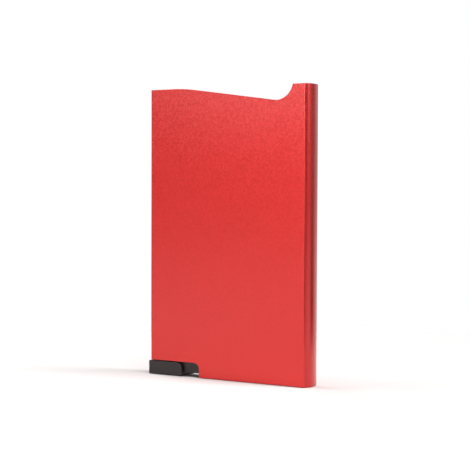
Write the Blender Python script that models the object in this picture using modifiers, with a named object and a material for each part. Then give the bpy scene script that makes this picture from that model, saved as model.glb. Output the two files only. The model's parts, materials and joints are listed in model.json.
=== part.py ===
"""Metal card holder: a flat metal tube with a lever at its foot that pushes the cards out.

Run it with: blender --background --python part.py

Lengths are in metres and +Z is up. The case stands on its lower edge with its middle over
the origin, as it is used. Its front faces -Y, and the thumb piece is at its lower left corner.
Outlines are lists of points: (x, z) where they are seen from the front, and (x, y) where
they are seen from above.
"""

import math

import bmesh
import bpy

MM = 0.001

# The cards that the case is for
CARD_WIDTH = 53.98 * MM
CARD_PLAY = 0.2 * MM
CARD_LEDGE = 1.4 * MM
CARD_STEPS = 6

# The case, a flat extruded tube with bowed narrow sides, and room beside the cards for the strips
SIDE_ROOM = 4.51 * MM
CASE_WIDTH = CARD_WIDTH + 2 * SIDE_ROOM
CASE_THICKNESS = 8.0 * MM
CASE_HEIGHT = 98.0 * MM
WALL = 1.0 * MM
SIDE_RADIUS = 8.5 * MM
EDGE_RADIUS = 0.9 * MM
INNER_RADIUS = 0.3 * MM
RIM_BREAK = 0.15 * MM

# The mouth: level at the left, then a crest, a straight slope, a scoop and a horn at the right
CREST_LENGTH = 10.5 * MM
CREST_RADIUS = 60.0 * MM
VALLEY_DEPTH = 5.0 * MM
SCOOP_RADIUS = 6.4 * MM
HORN_WIDTH = 5.95 * MM

# The notch in the lower left corner, which the thumb piece fills
NOTCH_LENGTH = 20.9 * MM
NOTCH_HEIGHT = 4.9 * MM
NOTCH_RADIUS = 2.0 * MM

# The base, moulded in two halves that meet in the middle of the thickness
BASE_RECESS = 1.0 * MM
FLOOR_THICKNESS = 1.4 * MM
CHEEK_THICKNESS = 0.8 * MM
CHEEK_RADIUS = 2.3 * MM
LINK_WIDTH = 2.0 * MM
PEG_RADIUS = 0.8 * MM
PEG_REACH = 1.2 * MM
PEG_INSET = 6.5 * MM

# The pivot
PIVOT_SETBACK = 0.4 * MM
PIN_RADIUS = 1.0 * MM

# The lever
THUMB_INSET = 0.1 * MM
THUMB_RADIUS = 2.4 * MM
THUMB_EDGE_BREAK = 0.25 * MM
WEB_SETBACK = 0.2 * MM
STEP_PITCH = 4.0 * MM
STEP_EDGE_BREAK = 0.2 * MM
ARM_TIP_DEPTH = 3.6 * MM
LEVER_TRAVEL = math.radians(50.0)

# The soft strips that grip the cards by their edges
STRIP_BASE = 1.2 * MM
STRIP_TOP_INSET = 5.0 * MM
LIP_THICKNESS = 0.6 * MM
LIP_COUNT = 3

# Fits
GAP = 0.3 * MM
PIN_GAP = 0.15 * MM
OVERRUN = 2.0 * MM
FLATNESS = 0.01 * MM
WELD = 0.001 * MM

QUARTER_TURN = math.pi / 2
SMOOTH_ANGLE = math.radians(30.0)
FLAT_ANGLE = math.radians(0.1)

PART_NAME = "card_holder"

# Sizes that follow from the ones above
LEFT = -CASE_WIDTH / 2
RIGHT = CASE_WIDTH / 2
INNER_HALF = CASE_THICKNESS / 2 - WALL
CORE_HALF = INNER_HALF - GAP
SLOT_HALF = CORE_HALF - CHEEK_THICKNESS
HUB_HALF = SLOT_HALF - GAP
HUB_RADIUS = CHEEK_RADIUS - GAP

NOTCH_RIGHT = LEFT + NOTCH_LENGTH
PIVOT_X = NOTCH_RIGHT - PIVOT_SETBACK
BAR_BOTTOM = NOTCH_HEIGHT + GAP
PIVOT_Z = BAR_BOTTOM + CHEEK_RADIUS
BASE_TOP = PIVOT_Z + CHEEK_RADIUS
ARM_TOP = BASE_TOP - GAP
FLOOR_TOP = BASE_RECESS + FLOOR_THICKNESS

WEB_RIGHT = PIVOT_X - WEB_SETBACK
WEB_TOP = BAR_BOTTOM - GAP
WEB_SWING = math.hypot(WEB_SETBACK, PIVOT_Z - BASE_RECESS)
FLOOR_LEFT = PIVOT_X + WEB_SWING + GAP
LINK_RIGHT = FLOOR_LEFT + LINK_WIDTH
PUSHER_LEFT = PIVOT_X + math.hypot(LINK_RIGHT - PIVOT_X, BASE_TOP - PIVOT_Z) + GAP
POST_LEFT = CARD_WIDTH / 2 - CARD_LEDGE
ARM_DROP = max(ARM_TOP - PIVOT_Z, PIVOT_Z - ARM_TOP + ARM_TIP_DEPTH)
ARM_RIGHT = PIVOT_X + math.sqrt((POST_LEFT - GAP - PIVOT_X) ** 2 - ARM_DROP**2)

# The thumb piece swings past the shell's lower edge, so its rounded corner keeps a gap to it
THUMB_TOP = NOTCH_HEIGHT - GAP
THUMB_CENTRE_Z = THUMB_TOP - THUMB_RADIUS
THUMB_CENTRE_X = PIVOT_X - math.sqrt(
    (PIVOT_Z + GAP + THUMB_RADIUS) ** 2 - (PIVOT_Z - THUMB_CENTRE_Z) ** 2
)


def arc(centre, radius, start, end):
    """Points along an arc from one angle to another, close enough together to look round."""
    step = 2 * math.acos(1 - FLATNESS / radius)
    count = max(2, math.ceil(abs(end - start) / step))
    angles = [start + (end - start) * i / count for i in range(count + 1)]
    return [(centre[0] + radius * math.cos(a), centre[1] + radius * math.sin(a)) for a in angles]


def circle(centre, radius):
    """Points once round a circle."""
    return arc(centre, radius, 0, 4 * QUARTER_TURN)[:-1]


def box(left, low, right, high):
    """The four corners of a rectangle."""
    return [(left, low), (right, low), (right, high), (left, high)]


def turned(point, angle):
    """A point turned about the origin, anticlockwise."""
    x, y = point
    return (x * math.cos(angle) - y * math.sin(angle), x * math.sin(angle) + y * math.cos(angle))


def tube_section(inset, corner_radius):
    """The case's outline from above, drawn in by an inset: two flats and two bowed sides."""
    half = CASE_THICKNESS / 2 - inset
    side_radius = SIDE_RADIUS - inset
    side_x = CASE_WIDTH / 2 - SIDE_RADIUS
    corner_y = half - corner_radius
    corner_x = side_x + math.sqrt((side_radius - corner_radius) ** 2 - corner_y**2)
    meet = math.atan2(corner_y, corner_x - side_x)
    right_side = arc((corner_x, -corner_y), corner_radius, -QUARTER_TURN, -meet)
    right_side += arc((side_x, 0), side_radius, -meet, 0)[1:]
    right_side += arc((side_x, 0), side_radius, 0, meet)[1:-1]
    right_side += arc((corner_x, corner_y), corner_radius, meet, QUARTER_TURN)
    left_side = [(-x, -y) for x, y in right_side]
    return right_side + left_side


def core_section():
    """The outline from above of what slides into the tube with a gap all round."""
    return tube_section(WALL + GAP, INNER_RADIUS)


def mouth_outline():
    """What is cut off the top of the case, from the front."""
    crest_centre = (LEFT + CREST_LENGTH, CASE_HEIGHT - CREST_RADIUS)
    horn_rise = SCOOP_RADIUS - VALLEY_DEPTH
    scoop_x = RIGHT - HORN_WIDTH - math.sqrt(SCOOP_RADIUS**2 - horn_rise**2)
    scoop_centre = (scoop_x, CASE_HEIGHT + horn_rise)
    across = scoop_centre[0] - crest_centre[0]
    up = scoop_centre[1] - crest_centre[1]
    slope = math.atan2(across, up) - math.acos((CREST_RADIUS + SCOOP_RADIUS) / math.hypot(across, up))
    crest = arc(crest_centre, CREST_RADIUS, QUARTER_TURN, QUARTER_TURN - slope)
    horn_angle = -math.asin(horn_rise / SCOOP_RADIUS)
    scoop = arc(scoop_centre, SCOOP_RADIUS, -QUARTER_TURN - slope, horn_angle)
    top = CASE_HEIGHT + 2 * OVERRUN
    level = [(LEFT - OVERRUN, CASE_HEIGHT)]
    above = [(RIGHT + OVERRUN, CASE_HEIGHT), (RIGHT + OVERRUN, top), (LEFT - OVERRUN, top)]
    return level + crest + scoop + above


def notch_outline():
    """What is cut from the lower left corner of the case, from the front."""
    corner = (NOTCH_RIGHT - NOTCH_RADIUS, NOTCH_HEIGHT - NOTCH_RADIUS)
    rounded = arc(corner, NOTCH_RADIUS, 0, QUARTER_TURN)
    low = [(LEFT - OVERRUN, -OVERRUN), (NOTCH_RIGHT, -OVERRUN)]
    return low + rounded + [(LEFT - OVERRUN, NOTCH_HEIGHT)]


def base_outline():
    """The base from the front: a bar over the thumb piece, a round cheek, a link, a floor and a post.

    The link's sloping lower edge is the lever's stop: it lies a gap beyond the web's right
    edge when the lever is turned through its whole travel.
    """
    beyond_web = GAP - WEB_SETBACK
    meet = LEVER_TRAVEL + math.asin(beyond_web / CHEEK_RADIUS)
    cheek = arc((PIVOT_X, PIVOT_Z), CHEEK_RADIUS, -QUARTER_TURN, meet - QUARTER_TURN)
    stop_x, stop_z = turned((beyond_web, -CHEEK_RADIUS), LEVER_TRAVEL)
    stop_fall = (FLOOR_LEFT - PIVOT_X - stop_x) / math.tan(LEVER_TRAVEL)
    stop_low = max(PIVOT_Z + stop_z - stop_fall, BASE_RECESS + FLOOR_THICKNESS / 2)
    link_start = [(FLOOR_LEFT, stop_low), (FLOOR_LEFT, BASE_RECESS)]
    post = [(RIGHT, BASE_RECESS), (RIGHT, BASE_TOP), (POST_LEFT, BASE_TOP), (POST_LEFT, FLOOR_TOP)]
    link_end = [(LINK_RIGHT, FLOOR_TOP), (LINK_RIGHT, BASE_TOP)]
    return [(LEFT, BAR_BOTTOM)] + cheek + link_start + post + link_end + [(LEFT, BASE_TOP)]


def thumb_outline():
    """The thumb piece from the front, with its upper right corner rounded."""
    left = LEFT + THUMB_INSET
    corner = arc((THUMB_CENTRE_X, THUMB_CENTRE_Z), THUMB_RADIUS, 0, QUARTER_TURN)
    return [(left, 0), (THUMB_CENTRE_X + THUMB_RADIUS, 0)] + corner + [(left, THUMB_TOP)]


def spine_outline():
    """The lever's thin middle from the front: its hub, the stem below it and the arm's root.

    The root ends inside the arm, clear of the arm's broken edges.
    """
    stem_low = BASE_RECESS + GAP
    root_low = FLOOR_TOP + GAP + 2 * STEP_EDGE_BREAK
    hub = arc((PIVOT_X, PIVOT_Z), HUB_RADIUS, QUARTER_TURN, 2 * QUARTER_TURN)
    stem = [
        (PIVOT_X - HUB_RADIUS, stem_low),
        (WEB_RIGHT - WEB_SETBACK, stem_low),
        (WEB_RIGHT + root_low - stem_low, root_low),
    ]
    root_right = PUSHER_LEFT + STEP_PITCH
    root = [
        (PUSHER_LEFT + STEP_EDGE_BREAK, root_low),
        (root_right, PIVOT_Z),
        (root_right, ARM_TOP - STEP_EDGE_BREAK),
    ]
    return hub + stem + root


def arm_side_outline():
    """The pushing arm from the front: its top is level, and it thins towards its tip."""
    low = FLOOR_TOP + GAP
    tip_low = ARM_TOP - ARM_TIP_DEPTH
    return [(PUSHER_LEFT, low), (ARM_RIGHT, tip_low), (ARM_RIGHT, ARM_TOP), (PUSHER_LEFT, ARM_TOP)]


def arm_stair_outline():
    """The pushing arm from above: one step for each card, the front card's the shortest."""
    tread = 2 * CORE_HALF / CARD_STEPS
    points = [(PUSHER_LEFT - OVERRUN, CORE_HALF), (PUSHER_LEFT - OVERRUN, -CORE_HALF)]
    for card in range(CARD_STEPS):
        reach = ARM_RIGHT - (CARD_STEPS - 1 - card) * STEP_PITCH
        front = -CORE_HALF + card * tread
        if card == CARD_STEPS - 1:
            reach = ARM_RIGHT + OVERRUN
        points += [(reach, front), (reach, front + tread)]
    return points


def strip_outline():
    """A grip strip from above, at the right side: a base along the wall and lips towards the cards."""
    lip_x = CARD_WIDTH / 2 + CARD_PLAY
    base_x = CASE_WIDTH / 2 - WALL - GAP - STRIP_BASE
    pitch = (2 * CORE_HALF - LIP_THICKNESS) / LIP_COUNT
    points = [(RIGHT, CORE_HALF + GAP), (base_x, CORE_HALF + GAP)]
    for lip in range(LIP_COUNT):
        middle = (LIP_COUNT - 1) / 2 * pitch - lip * pitch
        high = middle + LIP_THICKNESS / 2
        low = middle - LIP_THICKNESS / 2
        points += [(base_x, high), (lip_x, high), (lip_x, low), (base_x, low)]
    return points + [(base_x, -CORE_HALF - GAP), (RIGHT, -CORE_HALF - GAP)]


def clear_scene():
    """Remove every object, so that the script can be run again."""
    for thing in list(bpy.data.objects):
        bpy.data.objects.remove(thing, do_unlink=True)


def new_collection(name):
    """A collection linked to the scene."""
    collection = bpy.data.collections.new(name)
    bpy.context.scene.collection.children.link(collection)
    return collection


def material(name, colour, roughness, metallic):
    """A Principled BSDF material of one colour."""
    made = bpy.data.materials.new(name)
    made.use_nodes = True
    shader = made.node_tree.nodes["Principled BSDF"]
    shader.inputs["Base Color"].default_value = (*colour, 1.0)
    shader.inputs["Roughness"].default_value = roughness
    shader.inputs["Metallic"].default_value = metallic
    return made


def slab(name, outline, low, high, collection, upright=False, origin=(0, 0)):
    """A flat outline filled and given thickness, from low to high along the way it faces.

    An upright outline is seen from the front and its thickness runs along Y. Any other is
    seen from above and its thickness runs along Z. The origin is the object's own, in the
    outline's plane.
    """
    curve = bpy.data.curves.new(name, "CURVE")
    curve.dimensions = "2D"
    curve.fill_mode = "BOTH"
    curve.extrude = (high - low) / 2
    spline = curve.splines.new("POLY")
    spline.points.add(len(outline) - 1)
    for point, (across, along) in zip(spline.points, outline):
        point.co = (across - origin[0], along - origin[1], 0, 1)
    spline.use_cyclic_u = True
    drawn = bpy.data.objects.new(name, curve)
    bpy.context.scene.collection.objects.link(drawn)
    middle = (low + high) / 2
    if upright:
        drawn.location = (origin[0], middle, origin[1])
        drawn.rotation_euler = (QUARTER_TURN, 0, 0)
    else:
        drawn.location = (origin[0], origin[1], middle)
    return solid_from(drawn, collection)


def solid_from(drawn, collection):
    """The closed mesh object that a drawn object evaluates to, in its place."""
    name = drawn.name
    bpy.context.view_layer.update()
    evaluated = drawn.evaluated_get(bpy.context.evaluated_depsgraph_get())
    mesh = bpy.data.meshes.new_from_object(evaluated)
    made = bpy.data.objects.new(name + "_solid", mesh)
    made.matrix_world = drawn.matrix_world.copy()
    bpy.data.objects.remove(drawn, do_unlink=True)
    bm = bmesh.new()
    bm.from_mesh(mesh)
    bmesh.ops.remove_doubles(bm, verts=bm.verts, dist=WELD)
    bmesh.ops.dissolve_limit(bm, angle_limit=FLAT_ANGLE, verts=bm.verts, edges=bm.edges)
    bmesh.ops.recalc_face_normals(bm, faces=bm.faces)
    bm.to_mesh(mesh)
    bm.free()
    made.name = name
    collection.objects.link(made)
    return made


def rod(name, radius, low, high, x, z, collection):
    """A round rod along Y."""
    return slab(name, circle((x, z), radius), low, high, collection, upright=True, origin=(x, z))


def combine(body, operation, others):
    """Add a Boolean to a body for each of the others, which stay as hidden guides."""
    for other in others:
        other.hide_render = True
        other.display_type = "WIRE"
        step = body.modifiers.new(other.name, "BOOLEAN")
        step.operation = operation
        step.solver = "EXACT"
        step.object = other


def break_edges(body, width, segments):
    """Round off the sharp edges of a body."""
    step = body.modifiers.new("broken edges", "BEVEL")
    step.width = width
    step.segments = segments
    step.limit_method = "ANGLE"
    step.angle_limit = SMOOTH_ANGLE


def settle(body, finish):
    """Apply a body's modifiers, give it its material and shade its round faces smooth."""
    bpy.context.view_layer.update()
    evaluated = body.evaluated_get(bpy.context.evaluated_depsgraph_get())
    mesh = bpy.data.meshes.new_from_object(evaluated)
    body.modifiers.clear()
    body.data = mesh
    mesh.name = body.name
    mesh.materials.clear()
    mesh.materials.append(finish)
    mesh.shade_smooth()
    mesh.set_sharp_from_angle(angle=SMOOTH_ANGLE)
    return body


def make_shell(parts, guides, finish):
    """The tube: extruded, bored out, cut at the mouth and notched at the foot."""
    shell = slab("shell", tube_section(0, EDGE_RADIUS), 0, CASE_HEIGHT + OVERRUN, parts)
    bore = tube_section(WALL, INNER_RADIUS)
    hollow = slab("shell_hollow", bore, -OVERRUN, CASE_HEIGHT + 2 * OVERRUN, guides)
    reach = CASE_THICKNESS / 2 + OVERRUN
    mouth = slab("shell_mouth", mouth_outline(), -reach, reach, guides, upright=True)
    notch = slab("shell_notch", notch_outline(), -reach, reach, guides, upright=True)
    combine(shell, "DIFFERENCE", [hollow, mouth, notch])
    break_edges(shell, RIM_BREAK, 1)
    return settle(shell, finish)


def make_base(side, name, parts, guides, finish):
    """One half of the base, the front one for a side of -1 and the rear one for a side of 1."""
    near = side * GAP / 2
    far = side * (INNER_HALF + OVERRUN)
    half = slab(name, base_outline(), min(near, far), max(near, far), parts, upright=True)
    core = slab(name + "_core", core_section(), BASE_RECESS - OVERRUN, BASE_TOP + OVERRUN, guides)
    combine(half, "INTERSECT", [core])
    slot_outline = box(PIVOT_X - HUB_RADIUS - GAP, -OVERRUN, LINK_RIGHT + GAP, BASE_TOP + OVERRUN)
    slot = slab(name + "_slot", slot_outline, -SLOT_HALF, SLOT_HALF, guides, upright=True)
    reach = INNER_HALF + OVERRUN
    bore = rod(name + "_bore", PIN_RADIUS + PIN_GAP, -reach, reach, PIVOT_X, PIVOT_Z, guides)
    combine(half, "DIFFERENCE", [slot, bore])
    for peg_x in (LEFT + PEG_INSET, (POST_LEFT + RIGHT - WALL) / 2):
        if side < 0:
            peg_end = near + GAP + PEG_REACH
            peg = rod(name + "_peg", PEG_RADIUS, near - PEG_REACH, peg_end, peg_x, PIVOT_Z, guides)
            combine(half, "UNION", [peg])
        else:
            socket_end = near + PEG_REACH + GAP
            socket_radius = PEG_RADIUS + GAP
            socket = rod(name + "_socket", socket_radius, near - OVERRUN, socket_end, peg_x, PIVOT_Z, guides)
            combine(half, "DIFFERENCE", [socket])
    return settle(half, finish)


def make_lever(parts, guides, finish):
    """The lever: a thumb piece as thick as the case, a web, a thin hub and a stepped arm."""
    pivot = (PIVOT_X, PIVOT_Z)
    lever = slab("eject_lever", spine_outline(), -HUB_HALF, HUB_HALF, parts, upright=True, origin=pivot)
    thumb_half = CASE_THICKNESS / 2
    thumb = slab("lever_thumb", thumb_outline(), -thumb_half, thumb_half, guides, upright=True)
    break_edges(thumb, THUMB_EDGE_BREAK, 2)
    web_outline = box(THUMB_CENTRE_X, BASE_RECESS, WEB_RIGHT, WEB_TOP)
    web = slab("lever_web", web_outline, -CORE_HALF, CORE_HALF, guides, upright=True)
    arm = slab("lever_arm", arm_stair_outline(), FLOOR_TOP, BASE_TOP, guides)
    arm_side = slab("lever_arm_side", arm_side_outline(), -INNER_HALF, INNER_HALF, guides, upright=True)
    combine(arm, "INTERSECT", [arm_side])
    break_edges(arm, STEP_EDGE_BREAK, 1)
    bore = rod("lever_bore", PIN_RADIUS + PIN_GAP, -INNER_HALF, INNER_HALF, PIVOT_X, PIVOT_Z, guides)
    combine(lever, "UNION", [web, thumb, arm])
    combine(lever, "DIFFERENCE", [bore])
    lever = settle(lever, finish)
    axis = bpy.data.objects.new("lever_pivot_axis", None)
    axis.location = (PIVOT_X, 0, PIVOT_Z)
    axis.rotation_euler = (QUARTER_TURN, 0, 0)
    axis.empty_display_size = CASE_THICKNESS
    parts.objects.link(axis)
    bpy.context.view_layer.update()
    lever.parent = axis
    lever.matrix_parent_inverse = axis.matrix_world.inverted()
    return lever


def make_pin(parts, finish):
    """The steel pin that the lever turns on, as long as the base is thick."""
    pin = rod("pivot_pin", PIN_RADIUS, -CORE_HALF, CORE_HALF, PIVOT_X, PIVOT_Z, parts)
    return settle(pin, finish)


def make_strip(side, name, parts, guides, finish):
    """One grip strip, the left one for a side of -1 and the right one for a side of 1."""
    outline = [(side * x, y) for x, y in strip_outline()]
    if side < 0:
        outline.reverse()
    low = BASE_TOP + GAP
    high = CASE_HEIGHT - STRIP_TOP_INSET
    strip = slab(name, outline, low, high, parts)
    core = slab(name + "_core", core_section(), low - OVERRUN, high + OVERRUN, guides)
    combine(strip, "INTERSECT", [core])
    return settle(strip, finish)


def main():
    """Build every piece in its place."""
    clear_scene()
    parts = new_collection(PART_NAME)
    guides = new_collection(PART_NAME + "_cutters")
    red_metal = material("red_anodised_aluminium", (0.74, 0.045, 0.04), 0.38, 1.0)
    base_black = material("base_black_plastic", (0.022, 0.023, 0.022), 0.55, 0.0)
    lever_black = material("lever_black_plastic", (0.035, 0.031, 0.03), 0.5, 0.0)
    steel = material("pin_steel", (0.6, 0.6, 0.62), 0.3, 1.0)
    rubber = material("strip_rubber", (0.02, 0.02, 0.02), 0.8, 0.0)
    make_shell(parts, guides, red_metal)
    make_base(-1, "base_front", parts, guides, base_black)
    make_base(1, "base_rear", parts, guides, base_black)
    make_lever(parts, guides, lever_black)
    make_pin(parts, steel)
    make_strip(-1, "grip_strip_left", parts, guides, rubber)
    make_strip(1, "grip_strip_right", parts, guides, rubber)


main()
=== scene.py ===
"""Looks of the slim metal card holder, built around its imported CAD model.

The frame is in metres with +Z up. The case stands over the origin with its front facing -Y
and its thumb piece at the lower left corner. Outlines are lists of points: (x, z) where they
are seen from the front, and (x, y) where they are seen from above. Every piece has the CAD's
sizes, with finer arcs, rounded edges and a procedural finish. Only the thumb piece's right end
and the web's lower edge differ from the CAD, by less than 0.4 mm, to lie where they are seen.
"""

import json
import logging
import math
from dataclasses import dataclass
from enum import Enum

import bmesh
import bpy
from mathutils import Matrix, Vector


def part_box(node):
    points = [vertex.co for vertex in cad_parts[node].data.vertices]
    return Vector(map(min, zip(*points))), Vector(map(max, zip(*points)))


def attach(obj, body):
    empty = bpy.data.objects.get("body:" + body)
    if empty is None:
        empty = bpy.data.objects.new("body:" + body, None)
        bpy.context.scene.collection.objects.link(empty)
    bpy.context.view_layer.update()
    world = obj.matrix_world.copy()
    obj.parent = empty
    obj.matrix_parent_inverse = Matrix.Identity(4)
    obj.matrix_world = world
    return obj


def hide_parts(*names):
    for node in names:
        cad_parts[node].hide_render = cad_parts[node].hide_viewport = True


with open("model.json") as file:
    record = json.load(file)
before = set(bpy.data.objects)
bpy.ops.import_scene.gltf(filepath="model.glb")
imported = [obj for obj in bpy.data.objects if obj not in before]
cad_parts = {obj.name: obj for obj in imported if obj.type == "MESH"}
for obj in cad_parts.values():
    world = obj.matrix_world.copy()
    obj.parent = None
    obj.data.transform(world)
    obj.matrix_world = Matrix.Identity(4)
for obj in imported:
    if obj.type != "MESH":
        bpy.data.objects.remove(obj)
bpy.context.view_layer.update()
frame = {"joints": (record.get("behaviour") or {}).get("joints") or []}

MM = 0.001
QUARTER_TURN = math.pi / 2
SMOOTH_ANGLE = math.radians(30.0)
FLATNESS = 0.002 * MM
LEAST_ARC_STEPS = 2
WELD = 0.0005 * MM
OVERRUN = 2.0 * MM
GAP = 0.3 * MM
PIN_GAP = 0.15 * MM

Point = tuple[float, float]
Outline = list[Point]
Colour = tuple[float, float, float, float]

WHITE: Colour = (1.0, 1.0, 1.0, 1.0)

log = logging.getLogger("card_holder")


class Facing(Enum):
    """The way that a flat outline faces when it is given thickness."""

    FRONT = "front"
    ABOVE = "above"


class Step(Enum):
    """What a Boolean step does to a piece."""

    ADD = "UNION"
    CUT = "DIFFERENCE"
    KEEP = "INTERSECT"


class Side(Enum):
    """A side of the case, as the sign of X."""

    LEFT = -1
    RIGHT = 1


class Half(Enum):
    """A half of the base, as the sign of Y."""

    FRONT = -1
    REAR = 1


class Rounding(Enum):
    """How many facets round off an edge: few inside the case, and most where the thumb presses."""

    INSIDE = 2
    OUTSIDE = 3
    THUMB = 4


def arc(centre: Point, radius: float, start: float, end: float) -> Outline:
    """Points along an arc, close enough together to look round.

    Args:
        centre: The arc's centre.
        radius: Its radius.
        start: The angle that it starts at, in radians.
        end: The angle that it ends at.

    Returns:
        The points, with both ends.
    """
    step = 2 * math.acos(1 - FLATNESS / radius)
    count = max(LEAST_ARC_STEPS, math.ceil(abs(end - start) / step))
    angles = [start + (end - start) * i / count for i in range(count + 1)]
    return [(centre[0] + radius * math.cos(a), centre[1] + radius * math.sin(a)) for a in angles]


def circle(centre: Point, radius: float) -> Outline:
    """Points once round a circle."""
    return arc(centre, radius, 0, 4 * QUARTER_TURN)[:-1]


def rectangle(left: float, low: float, right: float, high: float) -> Outline:
    """The four corners of a rectangle."""
    return [(left, low), (right, low), (right, high), (left, high)]


def turned(point: Point, angle: float) -> Point:
    """A point turned about the origin, anticlockwise."""
    x, y = point
    return (x * math.cos(angle) - y * math.sin(angle), x * math.sin(angle) + y * math.cos(angle))


def stock(name: str, outline: Outline, low: float, high: float, facing: Facing) -> bpy.types.Object:
    """A flat outline given thickness.

    Args:
        name: The object's name.
        outline: The outline's points, in order.
        low: Where the thickness starts, along the way that the outline faces.
        high: Where it ends.
        facing: Whether the outline is seen from the front or from above.

    Returns:
        A closed mesh object with its origin at the frame's origin.
    """
    bm = bmesh.new()
    if facing is Facing.FRONT:
        corners = [bm.verts.new((x, low, z)) for x, z in outline]
        along = Vector((0, high - low, 0))
    else:
        corners = [bm.verts.new((x, y, low)) for x, y in outline]
        along = Vector((0, 0, high - low))
    cap = bm.faces.new(corners)
    grown = bmesh.ops.extrude_face_region(bm, geom=[cap], use_keep_orig=True)
    moved = [item for item in grown["geom"] if isinstance(item, bmesh.types.BMVert)]
    bmesh.ops.translate(bm, verts=moved, vec=along)
    bmesh.ops.recalc_face_normals(bm, faces=bm.faces)
    mesh = bpy.data.meshes.new(name)
    bm.to_mesh(mesh)
    bm.free()
    made = bpy.data.objects.new(name, mesh)
    bpy.context.scene.collection.objects.link(made)
    return made


def rod(name: str, centre: Point, radius: float, low: float, high: float) -> bpy.types.Object:
    """A round rod along Y, seen from the front as a circle."""
    return stock(name, circle(centre, radius), low, high, Facing.FRONT)


def apply_modifiers(body: bpy.types.Object) -> None:
    """Make what a body's modifiers give its own mesh.

    Args:
        body: The object, whose modifiers are used up.
    """
    bpy.context.view_layer.update()
    evaluated = body.evaluated_get(bpy.context.evaluated_depsgraph_get())
    mesh = bpy.data.meshes.new_from_object(evaluated)
    body.modifiers.clear()
    body.data = mesh
    mesh.name = body.name


def machine(body: bpy.types.Object, step: Step, tools: list[bpy.types.Object]) -> None:
    """Add, cut or keep a body with each of the tools, and use the tools up.

    Args:
        body: The object that is worked on.
        step: What each tool does to it.
        tools: The objects that it is worked with, which are removed.
    """
    for tool in tools:
        boolean = body.modifiers.new(tool.name, "BOOLEAN")
        boolean.operation = step.value
        boolean.solver = "EXACT"
        boolean.object = tool
    apply_modifiers(body)
    for tool in tools:
        bpy.data.objects.remove(tool, do_unlink=True)


def round_edges(body: bpy.types.Object, radius: float, rounding: Rounding) -> None:
    """Round off the sharp edges of a body.

    Args:
        body: The object.
        radius: The width that is taken off each side of an edge.
        rounding: How many facets make the rounding.
    """
    bevel = body.modifiers.new("rounded edges", "BEVEL")
    bevel.width = radius
    bevel.segments = rounding.value
    bevel.limit_method = "ANGLE"
    bevel.angle_limit = SMOOTH_ANGLE
    bevel.use_clamp_overlap = False
    apply_modifiers(body)


def smooth(body: bpy.types.Object) -> None:
    """Shade a body's roundings smooth and keep its flat faces flat.

    Args:
        body: The object. Points of it that lie together are joined first.
    """
    bm = bmesh.new()
    bm.from_mesh(body.data)
    bmesh.ops.remove_doubles(bm, verts=bm.verts, dist=WELD)
    bm.to_mesh(body.data)
    bm.free()
    body.data.shade_smooth()
    body.data.set_sharp_from_angle(angle=SMOOTH_ANGLE)
    weighted = body.modifiers.new("flat faces lead", "WEIGHTED_NORMAL")
    weighted.keep_sharp = True
    apply_modifiers(body)


def hand_over(piece: bpy.types.Object, body: str, node: str, finish: bpy.types.Material) -> None:
    """Dress a piece and put it in the place of its CAD node.

    Args:
        piece: The finished mesh object.
        body: The CAD body that it rides on.
        node: The CAD node that it stands for.
        finish: The material.
    """
    smooth(piece)
    piece.data.materials.clear()
    piece.data.materials.append(finish)
    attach(piece, body)
    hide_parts(node)
    log.info("%s: %d faces, rides on %s", piece.name, len(piece.data.polygons), body)


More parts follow.
